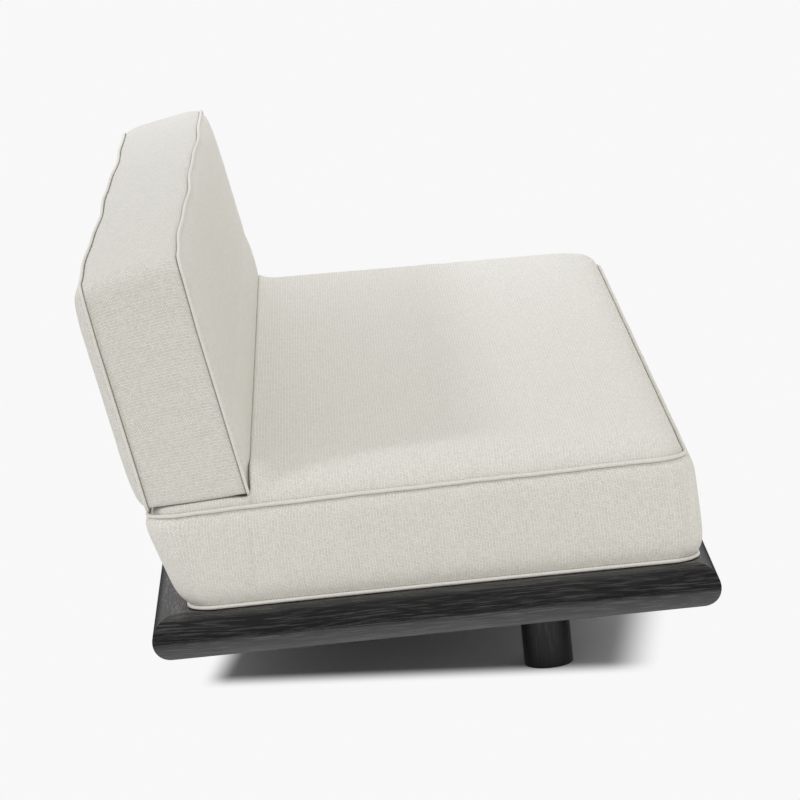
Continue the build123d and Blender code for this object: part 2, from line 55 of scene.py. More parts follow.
# %% Camera
def add_object(name, data):
    """Puts data into the scene as an object."""
    thing = bpy.data.objects.new(name, data)
    bpy.context.scene.collection.objects.link(thing)
    return thing


view_azimuth, view_elevation, view_roll = np.radians([269.608, 10.568, -5.693])
camera_place = (-7.78305, 0.03979, 1.77738)
lens_millimetres = 193.17
to_camera = np.array([
    np.sin(view_azimuth) * np.cos(view_elevation),
    -np.cos(view_azimuth) * np.cos(view_elevation),
    np.sin(view_elevation),
])
level_right = np.cross(-to_camera, (0, 0, 1))
level_right /= np.linalg.norm(level_right)
level_up = np.cross(level_right, -to_camera)
rolled_right = np.cos(view_roll) * level_right + np.sin(view_roll) * level_up
rolled_up = np.cos(view_roll) * level_up - np.sin(view_roll) * level_right
camera_axes = np.eye(4)
camera_axes[:3] = np.column_stack([rolled_right, rolled_up, to_camera, camera_place])
camera_data = bpy.data.cameras.new("camera")
camera_data.lens = lens_millimetres
camera_data.clip_end = 200
camera = add_object("camera", camera_data)
camera.matrix_world = Matrix(camera_axes.tolist())
bpy.context.scene.camera = camera
print("camera", np.round(np.linalg.norm(camera_place), 2), "m away, lens", lens_millimetres, "mm")

# %% [markdown]
# Every finish below is a small graph of shader nodes. A few helpers keep the graphs short and
# name what each step does.


# %% Node helpers
def place(tree, kind, feeds=(), **settings):
    """Adds a node, sets its properties, and feeds its inputs with values or with other outputs."""
    node = tree.nodes.new(kind)
    for name, value in settings.items():
        setattr(node, name, value)
    for socket, source in dict(feeds).items():
        if isinstance(source, bpy.types.NodeSocket):
            tree.links.new(source, node.inputs[socket])
        else:
            node.inputs[socket].default_value = source
    return node


def reckon(tree, operation, *values):
    """One step of arithmetic on numbers or outputs."""
    return place(tree, "ShaderNodeMath", enumerate(values), operation=operation).outputs[0]


def reckon_vectors(tree, operation, *vectors):
    """One step of arithmetic on vectors or colours."""
    return place(tree, "ShaderNodeVectorMath", enumerate(vectors), operation=operation).outputs[0]


def scaled(tree, value, factor, shift=0.0):
    """The value times a factor, plus a shift."""
    return reckon(tree, "MULTIPLY_ADD", value, factor, shift)


def ramp(tree, value, low, high, to_low=0.0, to_high=1.0):
    """A smooth step from to_low to to_high while the value goes from low to high."""
    feeds = {0: value, 1: low, 2: high, 3: to_low, 4: to_high}
    return place(tree, "ShaderNodeMapRange", feeds, interpolation_type="SMOOTHSTEP").outputs[0]


def blend_colours(tree, share, first, second):
    """The first colour where the share is 0, the second where it is 1."""
    feeds = {0: share, 6: (*first, 1), 7: (*second, 1)}
    return place(tree, "ShaderNodeMix", feeds, data_type="RGBA").outputs[2]


def stretched_noise(tree, vector, stretch, detail):
    """Soft noise whose blobs are one unit divided by the stretch long on each axis."""
    spot = reckon_vectors(tree, "MULTIPLY", vector, stretch)
    return place(tree, "ShaderNodeTexNoise", {"Vector": spot, "Scale": 1.0, "Detail": detail}).outputs[0]


def new_group(name, inputs, outputs):
    """An empty node group with named sockets; gives its tree, its inputs and its output node."""
    tree = bpy.data.node_groups.new(name, "ShaderNodeTree")
    for label, kind in inputs.items():
        tree.interface.new_socket(label, in_out="INPUT", socket_type=kind)
    for label in outputs:
        tree.interface.new_socket(label, in_out="OUTPUT", socket_type="NodeSocketFloat")
    return tree, place(tree, "NodeGroupInput").outputs, place(tree, "NodeGroupOutput")


def new_material(name):
    """A material with nothing in it yet, and its tree."""
    material = bpy.data.materials.new(name)
    material.use_nodes = True
    material.node_tree.nodes.clear()
    return material, material.node_tree


def end_material(tree, height, strength, distance, feeds):
    """Ends a material with a shader whose surface is bumped by a height."""
    bump = place(tree, "ShaderNodeBump", {"Strength": strength, "Distance": distance, "Height": height})
    surface = place(tree, "ShaderNodeBsdfPrincipled", {**feeds, "Normal": bump.outputs[0]})
    place(tree, "ShaderNodeOutputMaterial", {"Surface": surface.outputs[0]})


print("node helpers ready")

# %% [markdown]
# The studio is a white sweep under a big even dome of light, with three lamps. A dome alone would
# be too flat. The rear lamp makes the back shade the seat and leaves a bright strip at the near
# end, the far lamp lights the far end of the seat, and the front lamp brings up the boxing. The
# picture's ground is white right up to the sofa, so floor and dome show their own white to the
# camera, while the black wood mirrors a grey room that is brighter beyond the far end.

# %% Dome and lamps
paper_white, dome_level = 0.94, 0.90
room_grey, far_room_grey, far_turn = 0.19, 0.38, (0.3, 0.9)


def by_ray(tree, lighting, mirrored, seen):
    """One value for rays that carry light, one for mirrored rays and one for the camera's own rays."""
    path = place(tree, "ShaderNodeLightPath").outputs
    bounced = reckon(tree, "MAXIMUM", path["Is Glossy Ray"], path["Is Transmission Ray"])
    unseen = place(tree, "ShaderNodeMix", {0: bounced, 2: lighting, 3: mirrored}).outputs[0]
    return place(tree, "ShaderNodeMix", {0: path["Is Camera Ray"], 2: unseen, 3: seen}).outputs[0]


world = bpy.data.worlds.new("dome")
world.use_nodes = True
dome = world.node_tree
dome.nodes.clear()
seen_along = place(dome, "ShaderNodeTexCoord").outputs["Generated"]
far_end = place(dome, "ShaderNodeSeparateXYZ", {0: seen_along}).outputs[0]
mirrored_room = ramp(dome, far_end, *far_turn, room_grey, far_room_grey)
dome_strength = by_ray(dome, dome_level, mirrored_room, paper_white)
dome_light = place(dome, "ShaderNodeBackground", {"Color": (1, 1, 1, 1), "Strength": dome_strength})
place(dome, "ShaderNodeOutputWorld", {"Surface": dome_light.outputs[0]})
bpy.context.scene.world = world
bpy.context.scene.view_settings.view_transform = "Standard"


def hang_lamp(name, kind, toward, strength, colour):
    """A lamp turned to shine from the side that toward points to."""
    lamp = bpy.data.lights.new(name, kind)
    lamp.energy = strength
    lamp.color = colour
    holder = add_object(name, lamp)
    holder.matrix_world = Vector(toward).to_track_quat("Z", "Y").to_matrix().to_4x4()
    holder.visible_camera = False
    return holder


day_white, lamp_white = (0.95, 0.98, 1.15), (1, 1, 1)
rear_lamp = hang_lamp("rear lamp", "SUN", (-0.20, 0.78, 0.597), 0.67, day_white)
rear_lamp.data.angle = np.radians(8)
front_lamp = hang_lamp("front lamp", "SUN", (-0.55, -0.82, 0.18), 0.34, lamp_white)
front_lamp.data.angle = np.radians(50)
far_lamp = hang_lamp("far lamp", "AREA", (0.77, 0.07, 0.63), 10, day_white)
far_lamp.location = (2.2, 0.2, 1.6)
far_lamp.data.size = 1.0
print("dome and three lamps ready")

# %% [markdown]
# The sweep itself is one large square. Its material shows paper white outside a soft-edged patch
# under the base, and a plain matt floor inside it, where the shadow lies; there the floor's colour
# carries painted shade, darker towards the rear and paler towards the front, where more light gets
# in. The rear lamp would draw a hard line across the shadow, so it leaves the floor out. In mirrors
# the floor glows: a painted pool of light round the sofa is white, dimmed by painted shade beside
# the patch, and dull grey beyond.

# %% Floor
# The pool sizes below shape a painted pool of light that only mirrors see on the floor.
floor_reach, pool_half_length, pool_half_depth, pool_softness = 30.0, 1.38, 0.60, 0.06
patch_half_length, end_slant, end_softness = 0.780, 0.26, 0.05
patch_front, patch_rear, side_slant = (-0.41, -0.31), (0.335, 0.395), 0.125
shade_reach, shade_level = 0.35, 0.15
# The front and rear levels below are painted shade in the floor's colour under the sofa.
matt_from, matt_to, painted_shade_front_matt, painted_shade_rear_matt, matt_outside = -0.36, 0.30, 0.92, 0.48, 0.9
floor_corners = floor_reach * np.array([[-1, -1, 0], [1, -1, 0], [1, 1, 0], [-1, 1, 0]])
floor_mesh = bpy.data.meshes.new("floor")
floor_mesh.from_pydata(floor_corners.tolist(), [], [(0, 1, 2, 3)])
floor = add_object("floor", floor_mesh)

sweep, tree = new_material("paper sweep")
spot = place(tree, "ShaderNodeTexCoord").outputs["Object"]
across = place(tree, "ShaderNodeSeparateXYZ", {0: spot}).outputs
endways = scaled(tree, across[1], -end_slant, across[0])
in_length = ramp(
    tree, reckon(tree, "ABSOLUTE", endways),
    patch_half_length - end_softness, patch_half_length + end_softness, 1, 0,
)
from_end = reckon(tree, "ADD", across[0], patch_half_length)
sideways = scaled(tree, from_end, side_slant, across[1])
in_depth = scaled(tree, ramp(tree, sideways, *patch_front), ramp(tree, sideways, *patch_rear, 1, 0))
outside_patch = reckon(tree, "SUBTRACT", 1, scaled(tree, in_length, in_depth))
shows_paper = by_ray(tree, 0.0, outside_patch, outside_patch)
from_middle = reckon(tree, "ABSOLUTE", across[0])
beyond_end = reckon(tree, "SUBTRACT", from_middle, pool_half_length)
beyond_side = reckon(tree, "SUBTRACT", reckon(tree, "ABSOLUTE", across[1]), pool_half_depth)
beyond = reckon(tree, "MAXIMUM", beyond_end, beyond_side)
# For mirrored rays the floor glows: a painted pool of light round the sofa, dimmed as painted shade beside
# the patch.
from_shade = ramp(tree, from_middle, patch_half_length, patch_half_length + shade_reach, shade_level)
pool_edge = ramp(tree, beyond, -pool_softness, pool_softness, paper_white, room_grey / 2)
painted_light_pool = scaled(tree, from_shade, pool_edge)
# Painted shade: inside the patch the floor's colour is darker towards the rear.
painted_shade_matt = ramp(tree, across[1], matt_from, matt_to, painted_shade_front_matt, painted_shade_rear_matt)
floor_colour_with_painted_shade = reckon(tree, "MAXIMUM", painted_shade_matt, scaled(tree, outside_patch, matt_outside))
shaded = place(tree, "ShaderNodeBsdfDiffuse", {"Color": floor_colour_with_painted_shade}).outputs[0]
paper = place(tree, "ShaderNodeEmission", {"Strength": by_ray(tree, 0.0, painted_light_pool, paper_white)}).outputs[0]
ground = place(tree, "ShaderNodeMixShader", {0: shows_paper, 1: shaded, 2: paper})
place(tree, "ShaderNodeOutputMaterial", {"Surface": ground.outputs[0]})
floor_mesh.materials.append(sweep)
left_dark = bpy.data.collections.new("not lit by the rear lamp")
left_dark.objects.link(floor)
left_dark.collection_objects[0].light_linking.link_state = "EXCLUDE"
rear_lamp.light_linking.receiver_collection = left_dark
print("floor with a shadow patch", 2 * patch_half_length, "m long")

# %% [markdown]
# The cover cloth is a plain weave of uneven, slubby yarn. An image could carry it, but the
# threads can be reckoned: the cloth is cut into squares one thread wide, and in every second
# square the lengthwise thread lies on top. Every second lengthwise thread is thick and makes a
# fine rib. Each thread's tone drifts a little along it. Each crossing has a nub of its own, which
# sets its tone, its height and how much its two threads differ, and gives the dry, grainy look.

# %% Weave group
long_part, cross_part, rib_part, nub_part, even_part = 0.14, 0.10, 0.15, 0.26, 0.175
least_contrast, nub_contrast = 0.07, 0.28
least_lift, rib_lift, nub_lift = 0.67, 0.15, 0.5
thread_step, drift_pace, cross_offset = 7.31, 0.13, 91.7
tree, entry, leave = new_group(
    "slubby weave", {"Cloth": "NodeSocketVector", "Pitch": "NodeSocketFloat"}, ("Tone", "Height")
)
flat = place(tree, "ShaderNodeSeparateXYZ", {0: entry["Cloth"]}).outputs
cross_count = reckon(tree, "DIVIDE", flat[0], entry["Pitch"])
long_count = reckon(tree, "DIVIDE", flat[1], entry["Pitch"])
long_thread = reckon(tree, "FLOOR", cross_count)
cross_thread = reckon(tree, "FLOOR", long_count)
long_on_top = reckon(tree, "FLOORED_MODULO", reckon(tree, "ADD", long_thread, cross_thread), 2)


def thread_round(count):
    """The round of a thread across its width: 1 on its middle and 0 at its sides."""
    return reckon(tree, "SINE", scaled(tree, reckon(tree, "FRACT", count), np.pi))


def thread_tone(thread, along, offset):
    """Noise that drifts slowly along each thread and has nothing to do with the threads beside it."""
    step = scaled(tree, thread, thread_step, offset)
    drift = scaled(tree, along, drift_pace)
    spot = place(tree, "ShaderNodeCombineXYZ", {0: step, 1: drift}).outputs[0]
    feeds = {"Vector": spot, "Scale": 1.0, "Detail": 2.0}
    return place(tree, "ShaderNodeTexNoise", feeds, noise_dimensions="2D").outputs[0]


def pick_top(long_value, cross_value):
    """The lengthwise thread's value where it lies on top, and the crosswise one's elsewhere."""
    return place(tree, "ShaderNodeMix", {0: long_on_top, 2: cross_value, 3: long_value}).outputs[0]


long_round, cross_round = thread_round(cross_count), thread_round(long_count)
long_height = scaled(tree, long_round, scaled(tree, cross_round, 0.5, 0.5))
cross_height = scaled(tree, cross_round, scaled(tree, long_round, 0.5, 0.5))
crossing = place(tree, "ShaderNodeCombineXYZ", {0: long_thread, 1: cross_thread}).outputs[0]
nub = place(tree, "ShaderNodeTexWhiteNoise", {"Vector": crossing}, noise_dimensions="2D").outputs["Value"]
long_tone = thread_tone(long_thread, long_count, 0.0)
cross_tone = thread_tone(cross_thread, cross_count, cross_offset)
thick = reckon(tree, "FLOORED_MODULO", long_thread, 2)
slub_tone = scaled(tree, long_tone, long_part, scaled(tree, cross_tone, cross_part))
ribbed_tone = scaled(tree, thick, rib_part, slub_tone)
over_or_under = reckon(tree, "SUBTRACT", long_on_top, 0.5)
contrast = scaled(tree, nub, nub_contrast, least_contrast)
crossed_tone = scaled(tree, over_or_under, contrast, ribbed_tone)
nub_tone = scaled(tree, nub, nub_part, crossed_tone)
yarn_tone = reckon(tree, "ADD", nub_tone, even_part)
thread_lift = scaled(tree, thick, rib_lift, least_lift)
lift = scaled(tree, nub, nub_lift, thread_lift)
yarn_height = scaled(tree, pick_top(long_height, cross_height), lift)
tree.links.new(yarn_tone, leave.inputs["Tone"])
tree.links.new(yarn_height, leave.inputs["Height"])
weave = tree
print("weave group with", len(weave.nodes), "nodes")

# %% [markdown]
# One function makes every cloth finish from the weave group: cover, piping, slot lining and zip
# tape differ only in colour, thread width and the map that lays the weave on the piece. The
# back's seams are pulled tight, and no light gets into them, so a cover can carry its distance
# from the seam as an attribute, and painted shade turns it darker beside the seam. Painted shade
# also darkens the gaps between threads.


# %% Cloth finishes
# Painted seam shade: full darkness within the first distance from a seam, gone past the second.
seam_dark_to, seam_light_from = 0.0012, 0.0034
# The gap level below is painted shade: the colour it takes at the bottom of the gaps between threads.
painted_gap_shade, gap_full_height, tone_range, weave_bump = 0.76, 0.6, (0.05, 0.95), 0.6


def cloth_finish(name, shade, light, pitch, bump, laid_by="UV", painted_seam_shade=None):
    """A woven cloth between two colours, with the weave as bump and a faint fibre sheen. Painted shade
    darkens it in the gaps between threads and, where a painted seam shade is given, to that level at a seam."""
    material, tree = new_material(name)
    spot = place(tree, "ShaderNodeTexCoord").outputs[laid_by]
    tone, height = place(tree, "ShaderNodeGroup", {"Cloth": spot, "Pitch": pitch}, node_tree=weave).outputs
    share = ramp(tree, tone, *tone_range)
    # Painted shade: the colour darkens where the weave is low, in the gaps between threads.
    painted_shade = ramp(tree, height, 0.0, gap_full_height, painted_gap_shade)
    colour = blend_colours(tree, share, shade, light)
    # Painted shade beside the seams, where no light gets in.
    if painted_seam_shade:
        from_seam = place(tree, "ShaderNodeAttribute", attribute_name="from_seam").outputs["Fac"]
        painted_seam_darkening = ramp(tree, from_seam, seam_dark_to, seam_light_from, painted_seam_shade)
        painted_shade = scaled(tree, painted_shade, painted_seam_darkening)
    end_material(tree, height, weave_bump, bump, {
        "Base Color": reckon_vectors(tree, "MULTIPLY", colour, painted_shade), "Roughness": 0.92,
        "Specular IOR Level": 0.25, "Sheen Weight": 0.12, "Sheen Roughness": 0.5,
    })
    return material


seat_weave = cloth_finish("seat cloth", (0.672, 0.646, 0.573), (0.914, 0.887, 0.811), 0.0025, 0.0010)
# The back's cloth is the seat's cloth painted about 6 percent darker: painted shade over the whole back.
back_weave_painted_shade = cloth_finish(
    "back cloth with painted shade", (0.630, 0.606, 0.535), (0.858, 0.832, 0.758), 0.0025, 0.0010, painted_seam_shade=0.42
)
welt_cloth = cloth_finish("welt cloth", (0.70, 0.672, 0.602), (0.88, 0.852, 0.780), 0.0014, 0.0004)
lining_cloth = cloth_finish("slot lining", (0.50, 0.48, 0.43), (0.62, 0.60, 0.55), 0.0011, 0.0002, "Object")
zip_tape = cloth_finish("zip tape", (0.60, 0.577, 0.512), (0.74, 0.714, 0.645), 0.0008, 0.0002, "Object")
print("cloth finishes ready")

# %% [markdown]
# Both cushions are boxed: a crowned face, a flat strip all round called the boxing, and a second
# face. The faces are grids that are squeezed round at the corners, and the boxing is a strip
# between their edges that swells through a waist outline. Grids keep the threads straight and
# give the cloth solver even squares to work on.

# %% Cushion surfaces
cloth_square = 0.014
sewing_waves = ((1.0, (19, 7, 3), 0), (0.6, (43, -31, 23), 1.7), (0.4, (71, 97, -59), 0.4))


def spread(stops):
    """Places from the first stop to the last, through every stop, about one cloth square apart."""
    runs = [
        np.linspace(low, high, max(2, int(np.ceil((high - low) / cloth_square)) + 1))
        for low, high in zip(stops[:-1], stops[1:])
    ]
    return np.concatenate([runs[0]] + [run[1:] for run in runs[1:]])


def squeeze_corners(x, y, half_x, half_y, low_corner, high_corner):
    """Bends the corner squares of a rectangle to quarter discs: p * sqrt(1 - q * q / 2), and q likewise."""
    corner = np.where(y < 0, low_corner, high_corner)
    over_x = np.clip(np.abs(x) - (half_x - corner), 0, None) / corner
    over_y = np.clip(np.abs(y) - (half_y - corner), 0, None) / corner
    round_x = corner * over_x * np.sqrt(1 - over_y**2 / 2)
    round_y = corner * over_y * np.sqrt(1 - over_x**2 / 2)
    inner_x = np.minimum(np.abs(x), half_x - corner)
    inner_y = np.minimum(np.abs(y), half_y - corner)
    return np.sign(x) * (inner_x + round_x), np.sign(y) * (inner_y + round_y)


def outline_grid(columns, rows, corners, draw_in):
    """A grid over a cushion's outline, with round corners and ends that are drawn in towards their middle."""
    x, y = np.meshgrid(columns, rows, indexing="ij")
    half, middle = columns[-1], (rows[0] + rows[-1]) / 2
    reach = rows[-1] - middle
    drawn = x * (1 - draw_in / half * (1 - ((y - middle) / reach) ** 2))
    round_x, round_y = squeeze_corners(x, y - middle, half, reach, *corners)
    return round_x + drawn - x, round_y + middle


def crown(columns, rows, reach, end_reach=None):
    """Rises from 0 at the seam to 1 inside: a quarter ellipse from the ends and one from the sides, and
    of the two the lower, rounded off where they meet: a * b / (a^8 + b^8)^(1/8)."""
    def climb(places, span):
        from_edge = np.minimum(places - places[0], places[-1] - places)
        return np.sqrt(1 - (1 - np.clip(from_edge[:, None] / span, 0, 1)) ** 2)
    ends, sides = climb(columns, reach if end_reach is None else end_reach), climb(rows, reach).T
    return ends * sides / np.maximum(ends**8 + sides**8, 1e-40) ** 0.125


def boxing_swell(share, low_power, high_power):
    """How far the boxing stands out, 0 at both seams and 1 at mid-height: 1 - |2t - 1| to a power, with
    one power below the middle and another above it. A high power is square, a power of 2 is round."""
    from_middle = np.abs(2 * share - 1)
    return 1 - from_middle ** np.where(share < 0.5, low_power, high_power)


def seam_waver(points, size):
    """A hand-sewn unevenness: a few long sines of the place, so that neighbours move together."""
    return size * sum(share * np.sin(points @ pace + start) for share, pace, start in sewing_waves)


print("outline helpers ready, cloth squares of", cloth_square, "m")

# %% [markdown]
# A cushion's skin is made of squares between numbered corners. Each square also gets a place on
# the flat cloth, measured in metres along the surface, so that the threads keep one width
# everywhere. Edges along the seams are creased to stay crisp.


# %% Squares and flat cloth
def rim(numbers):
    """The numbers round the edge of a grid, anticlockwise."""
    return np.concatenate([numbers[:, 0], numbers[-1, 1:], numbers[-2::-1, -1], numbers[0, -2:0:-1]])


def grid_quads(numbers):
    """The squares of a grid of corner numbers."""
    return np.stack([numbers[:-1, :-1], numbers[1:, :-1], numbers[1:, 1:], numbers[:-1, 1:]], axis=-1)


def strip_quads(layers):
    """The squares of a closed strip, given one ring of corner numbers for each layer."""
    ahead = np.roll(layers, -1, axis=1)
    return np.stack([layers[:-1], ahead[:-1], ahead[1:], layers[1:]], axis=-1)


def line_length(points):
    """The length along a line up to each of its points."""
    return np.concatenate([[0], np.cumsum(np.linalg.norm(np.diff(points, axis=0), axis=1))])


def ring_length(points):
    """The same along a closed ring, with the whole length at the end."""
    return line_length(np.concatenate([points, points[:1]]))


def strip_cloth(along, up):
    """Where each corner of a strip's squares lies on the flat cloth."""
    start = np.meshgrid(up[:-1], along[:-1], indexing="ij")
    stop = np.meshgrid(up[1:], along[1:], indexing="ij")
    corners = [(start[1], start[0]), (stop[1], start[0]), (stop[1], stop[0]), (start[1], stop[0])]
    return np.stack([np.stack(corner, axis=-1) for corner in corners], axis=-2)


def face_cloth(face):
    """Where each point of a face's grid lies on the flat cloth, by lengths along its middle lines."""
    across = line_length(face[:, face.shape[1] // 2])
    along = line_length(face[face.shape[0] // 2])
    return np.stack(np.meshgrid(across, along, indexing="ij"), axis=-1)


def packed(values, kind=np.float32):
    """The values in one row, as Blender's meshes take them."""
    return np.ascontiguousarray(values, dtype=kind).ravel()


def mesh_piece(name, points, quads, flat_cloth, material):
    """A smooth mesh object from corner points, squares, and each square corner's place on the cloth."""
    mesh = bpy.data.meshes.new(name)
    mesh.vertices.add(len(points))
    mesh.vertices.foreach_set("co", packed(points))
    mesh.loops.add(quads.size)
    mesh.loops.foreach_set("vertex_index", packed(quads, np.int32))
    mesh.polygons.add(len(quads))
    mesh.polygons.foreach_set("loop_start", np.arange(0, quads.size, 4, dtype=np.int32))
    mesh.update(calc_edges=True)
    uv = mesh.uv_layers.new(name="cloth")
    uv.uv.foreach_set("vector", packed(flat_cloth))
    mesh.shade_smooth()
    mesh.materials.append(material)
    return add_object(name, mesh)


def mark_edges(piece, corner_sets):
    """Creases the edges that run inside any of the sets of corners, so that they stay crisp."""
    mesh = piece.data
    ends = np.empty(2 * len(mesh.edges), dtype=np.int32)
    mesh.edges.foreach_get("vertices", ends)
    ends = ends.reshape(-1, 2)
    inside = [np.isin(ends, corners).all(axis=1) for corners in corner_sets]
    crisp = np.any(inside, axis=0)
    mesh.attributes.new("crease_edge", "FLOAT", "EDGE").data.foreach_set("value", crisp.astype(np.float32))
    mesh.attributes.new("sharp_edge", "BOOLEAN", "EDGE").data.foreach_set("value", crisp)


print("mesh helpers ready")

# %% [markdown]
# With these a boxed cushion is one function: two faces, the strip between them, and a tunnel for
# each slot. It could be joined from separate panels, but one closed skin lets the cloth solver
# push on all of it at once.

# %% Boxed cushion
seam_crowding = 0.1


def boxed_cushion(name, face, flat_face, waist, far, band_squares, powers, finish, slots=()):
    """A closed cushion. The boxing runs straight from the far face's edge to the near face's edge,
    moved out by its swell times the waist's distance from that line, with smaller squares near the
    seams. Each slot is a block of the grid that becomes a tunnel."""
    columns, rows = face.shape[:2]
    near_numbers = np.arange(columns * rows).reshape(columns, rows)
    far_numbers = near_numbers + columns * rows
    edge = rim(near_numbers)
    near_ring, far_ring, waist_ring = (grid.reshape(-1, 3)[edge] for grid in (face, far, waist))
    even = np.linspace(0, 1, band_squares + 1)
    share = even - seam_crowding * np.sin(2 * np.pi * even)
    t = share[1:-1, None, None]
    swell = boxing_swell(t, *powers)
    band = (1 - t) * far_ring + t * near_ring + swell * (waist_ring - (near_ring + far_ring) / 2)
    points = np.concatenate([face.reshape(-1, 3), far.reshape(-1, 3), band.reshape(-1, 3)])
    band_numbers = 2 * columns * rows + np.arange(band.shape[0] * len(edge)).reshape(-1, len(edge))
    layers = np.concatenate([edge[None] + columns * rows, band_numbers, edge[None]])
    band_height = np.linalg.norm(near_ring - far_ring, axis=1).mean()

    kept = np.ones((columns - 1, rows - 1), dtype=bool)
    tunnels, tunnel_cloth, slot_rims = [], [], []
    for first_column, last_column, first_row, last_row in slots:
        kept[first_column:last_column, first_row:last_row] = False
        block = np.s_[first_column:last_column + 1, first_row:last_row + 1]
        near_rim, far_rim = rim(near_numbers[block]), rim(far_numbers[block])
        tunnels.append(strip_quads(np.stack([near_rim, far_rim])).reshape(-1, 4))
        around = ring_length(points[near_rim])
        tunnel_cloth.append(strip_cloth(around, np.array([0, band_height])).reshape(-1, 4, 2))
        slot_rims.append(np.concatenate([near_rim, far_rim]))
    near_quads, far_quads = grid_quads(near_numbers)[kept], grid_quads(far_numbers)[kept][:, ::-1]
    quads = np.concatenate([near_quads, far_quads, strip_quads(layers).reshape(-1, 4)] + tunnels)
    flat_face = flat_face.reshape(-1, 2)
    flat_cloth = np.concatenate([
        flat_face[near_quads],
        flat_face[far_quads - columns * rows],
        strip_cloth(ring_length(waist_ring), share * band_height).reshape(-1, 4, 2),
    ] + tunnel_cloth)
    strip_start = len(near_quads) + len(far_quads)
    strip_height = flat_cloth[strip_start:, :, 1]
    from_seam = np.full(quads.shape, band_height)
    from_seam[strip_start:] = np.minimum(strip_height, band_height - strip_height)
    used, renumbered = np.unique(quads, return_inverse=True)
    new_number = np.full(len(points), -1)
    new_number[used] = np.arange(len(used))
    piece = mesh_piece(name, points[used], renumbered.reshape(-1, 4), flat_cloth, finish)
    seam_distance = piece.data.attributes.new("from_seam", "FLOAT", "CORNER").data
    seam_distance.foreach_set("value", packed(from_seam))
    seams = [new_number[edge], new_number[edge + columns * rows]]
    slot_rims = [new_number[numbers] for numbers in slot_rims]
    mark_edges(piece, seams + slot_rims)
    far_side = new_number[far_numbers.ravel()]
    print(name, "has", len(used), "corners and", len(quads), "squares")
    return piece, seams, far_side[far_side >= 0], slot_rims


print("boxed cushions ready")

# %% [markdown]
# A cover is cut a little large and pushed out by its foam. Blender's cloth solver gives that
# look: the seams are pinned, weak springs stand for the foam, a small pressure fills the cover,
# and no point may move further than a cap. Afterwards the cover is drawn in where its zip lies.


# %% Cloth filling
foam_hold, fill_cap, fill_frames = 0.35, 0.022, 20
cover_cloth = {
    "quality": 5, "mass": 0.4, "tension_stiffness": 20, "compression_stiffness": 20, "shear_stiffness": 8,
    "bending_stiffness": 2, "air_damping": 3, "use_pressure": True, "uniform_pressure_force": 3.0,
    "shrink_min": -0.004,
}
zip_recess, zip_margin, tape_rim = 0.0012, 0.009, 0.001


def corner_places(mesh):
    """The places of a mesh's corners as an array."""
    places = np.empty(3 * len(mesh.vertices), dtype=np.float32)
    mesh.vertices.foreach_get("co", places)
    return places.reshape(-1, 3)


def fill_cover(piece, pinned):
    """Runs the cloth solver on a piece and keeps the result, each corner's move capped."""
    start = corner_places(piece.data)
    holds = piece.vertex_groups.new(name="holds")
    holds.add(list(range(len(start))), foam_hold, "REPLACE")
    holds.add(np.unique(np.concatenate(pinned)).tolist(), 1.0, "REPLACE")
    cloth = piece.modifiers.new("cloth", "CLOTH")
    for name, value in cover_cloth.items():
        setattr(cloth.settings, name, value)
    cloth.settings.vertex_group_mass = holds.name
    cloth.settings.effector_weights.gravity = 0
    cloth.collision_settings.use_collision = False
    cloth.point_cache.frame_end = fill_frames
    for number in range(1, fill_frames + 1):
        bpy.context.scene.frame_set(number)
    settled = corner_places(piece.evaluated_get(bpy.context.evaluated_depsgraph_get()).data)
    bpy.context.scene.frame_set(1)
    piece.modifiers.remove(cloth)
    piece.vertex_groups.remove(holds)
    move = settled - start
    distance = np.linalg.norm(move, axis=1, keepdims=True)
    move *= np.minimum(1, fill_cap / np.maximum(distance, 1e-9))
    print(piece.name, "filled, moves up to", round(float(distance.max()) * 1000, 1), "mm")
    return start + move


def set_places(piece, places):
    """Puts new places into a piece's mesh."""
    piece.data.vertices.foreach_set("co", packed(places))
    piece.data.update()


def make_room(places, tape_node):
    """Pushes the cover in behind its zip: over the tape it lies below the tape's outer face, and beside
    the tape it may stand out again by as much as it is away."""
    tape = corner_places(nodes[tape_node].data)
    normal = np.linalg.svd(tape - tape.mean(axis=0), full_matrices=False)[2][-1]
    normal *= np.sign(normal[1])
    up = np.cross((1, 0, 0), normal)
    tape_edge = (tape @ normal)[tape @ up > (tape @ up).max() - tape_rim].max()
    beyond = np.maximum(
        np.abs(places[:, 0]) - np.abs(tape[:, 0]).max(),
        np.abs(places @ up - (tape.mean(axis=0) @ up)) - np.ptp(tape @ up) / 2,
    )
    limit = tape_edge - zip_recess + np.clip(beyond - zip_margin, 0, None)
    excess = np.clip(places @ normal - limit, 0, None)
    deepest = float(excess[beyond < 0].max())
    print(tape_node, "pushes its cover in by up to", round(deepest * 1000, 1), "mm")
    return places - excess[:, None] * normal


def subdivide(piece):
    """One live subdivision, the same on screen and in the render."""
    smooth = piece.modifiers.new("subdivision", "SUBSURF")
    smooth.levels = smooth.render_levels = 1


print("cloth filling ready,", fill_frames, "frames")

# %% [markdown]
# The seat is one bench cushion as long as the base. Its bottom seam stands on the wood, its
# boxing swells, and its top is crowned and falls a touch to the rear. The back stands on it, so
# the sizes of both come first. Places in the back are given in its own leaning plane.

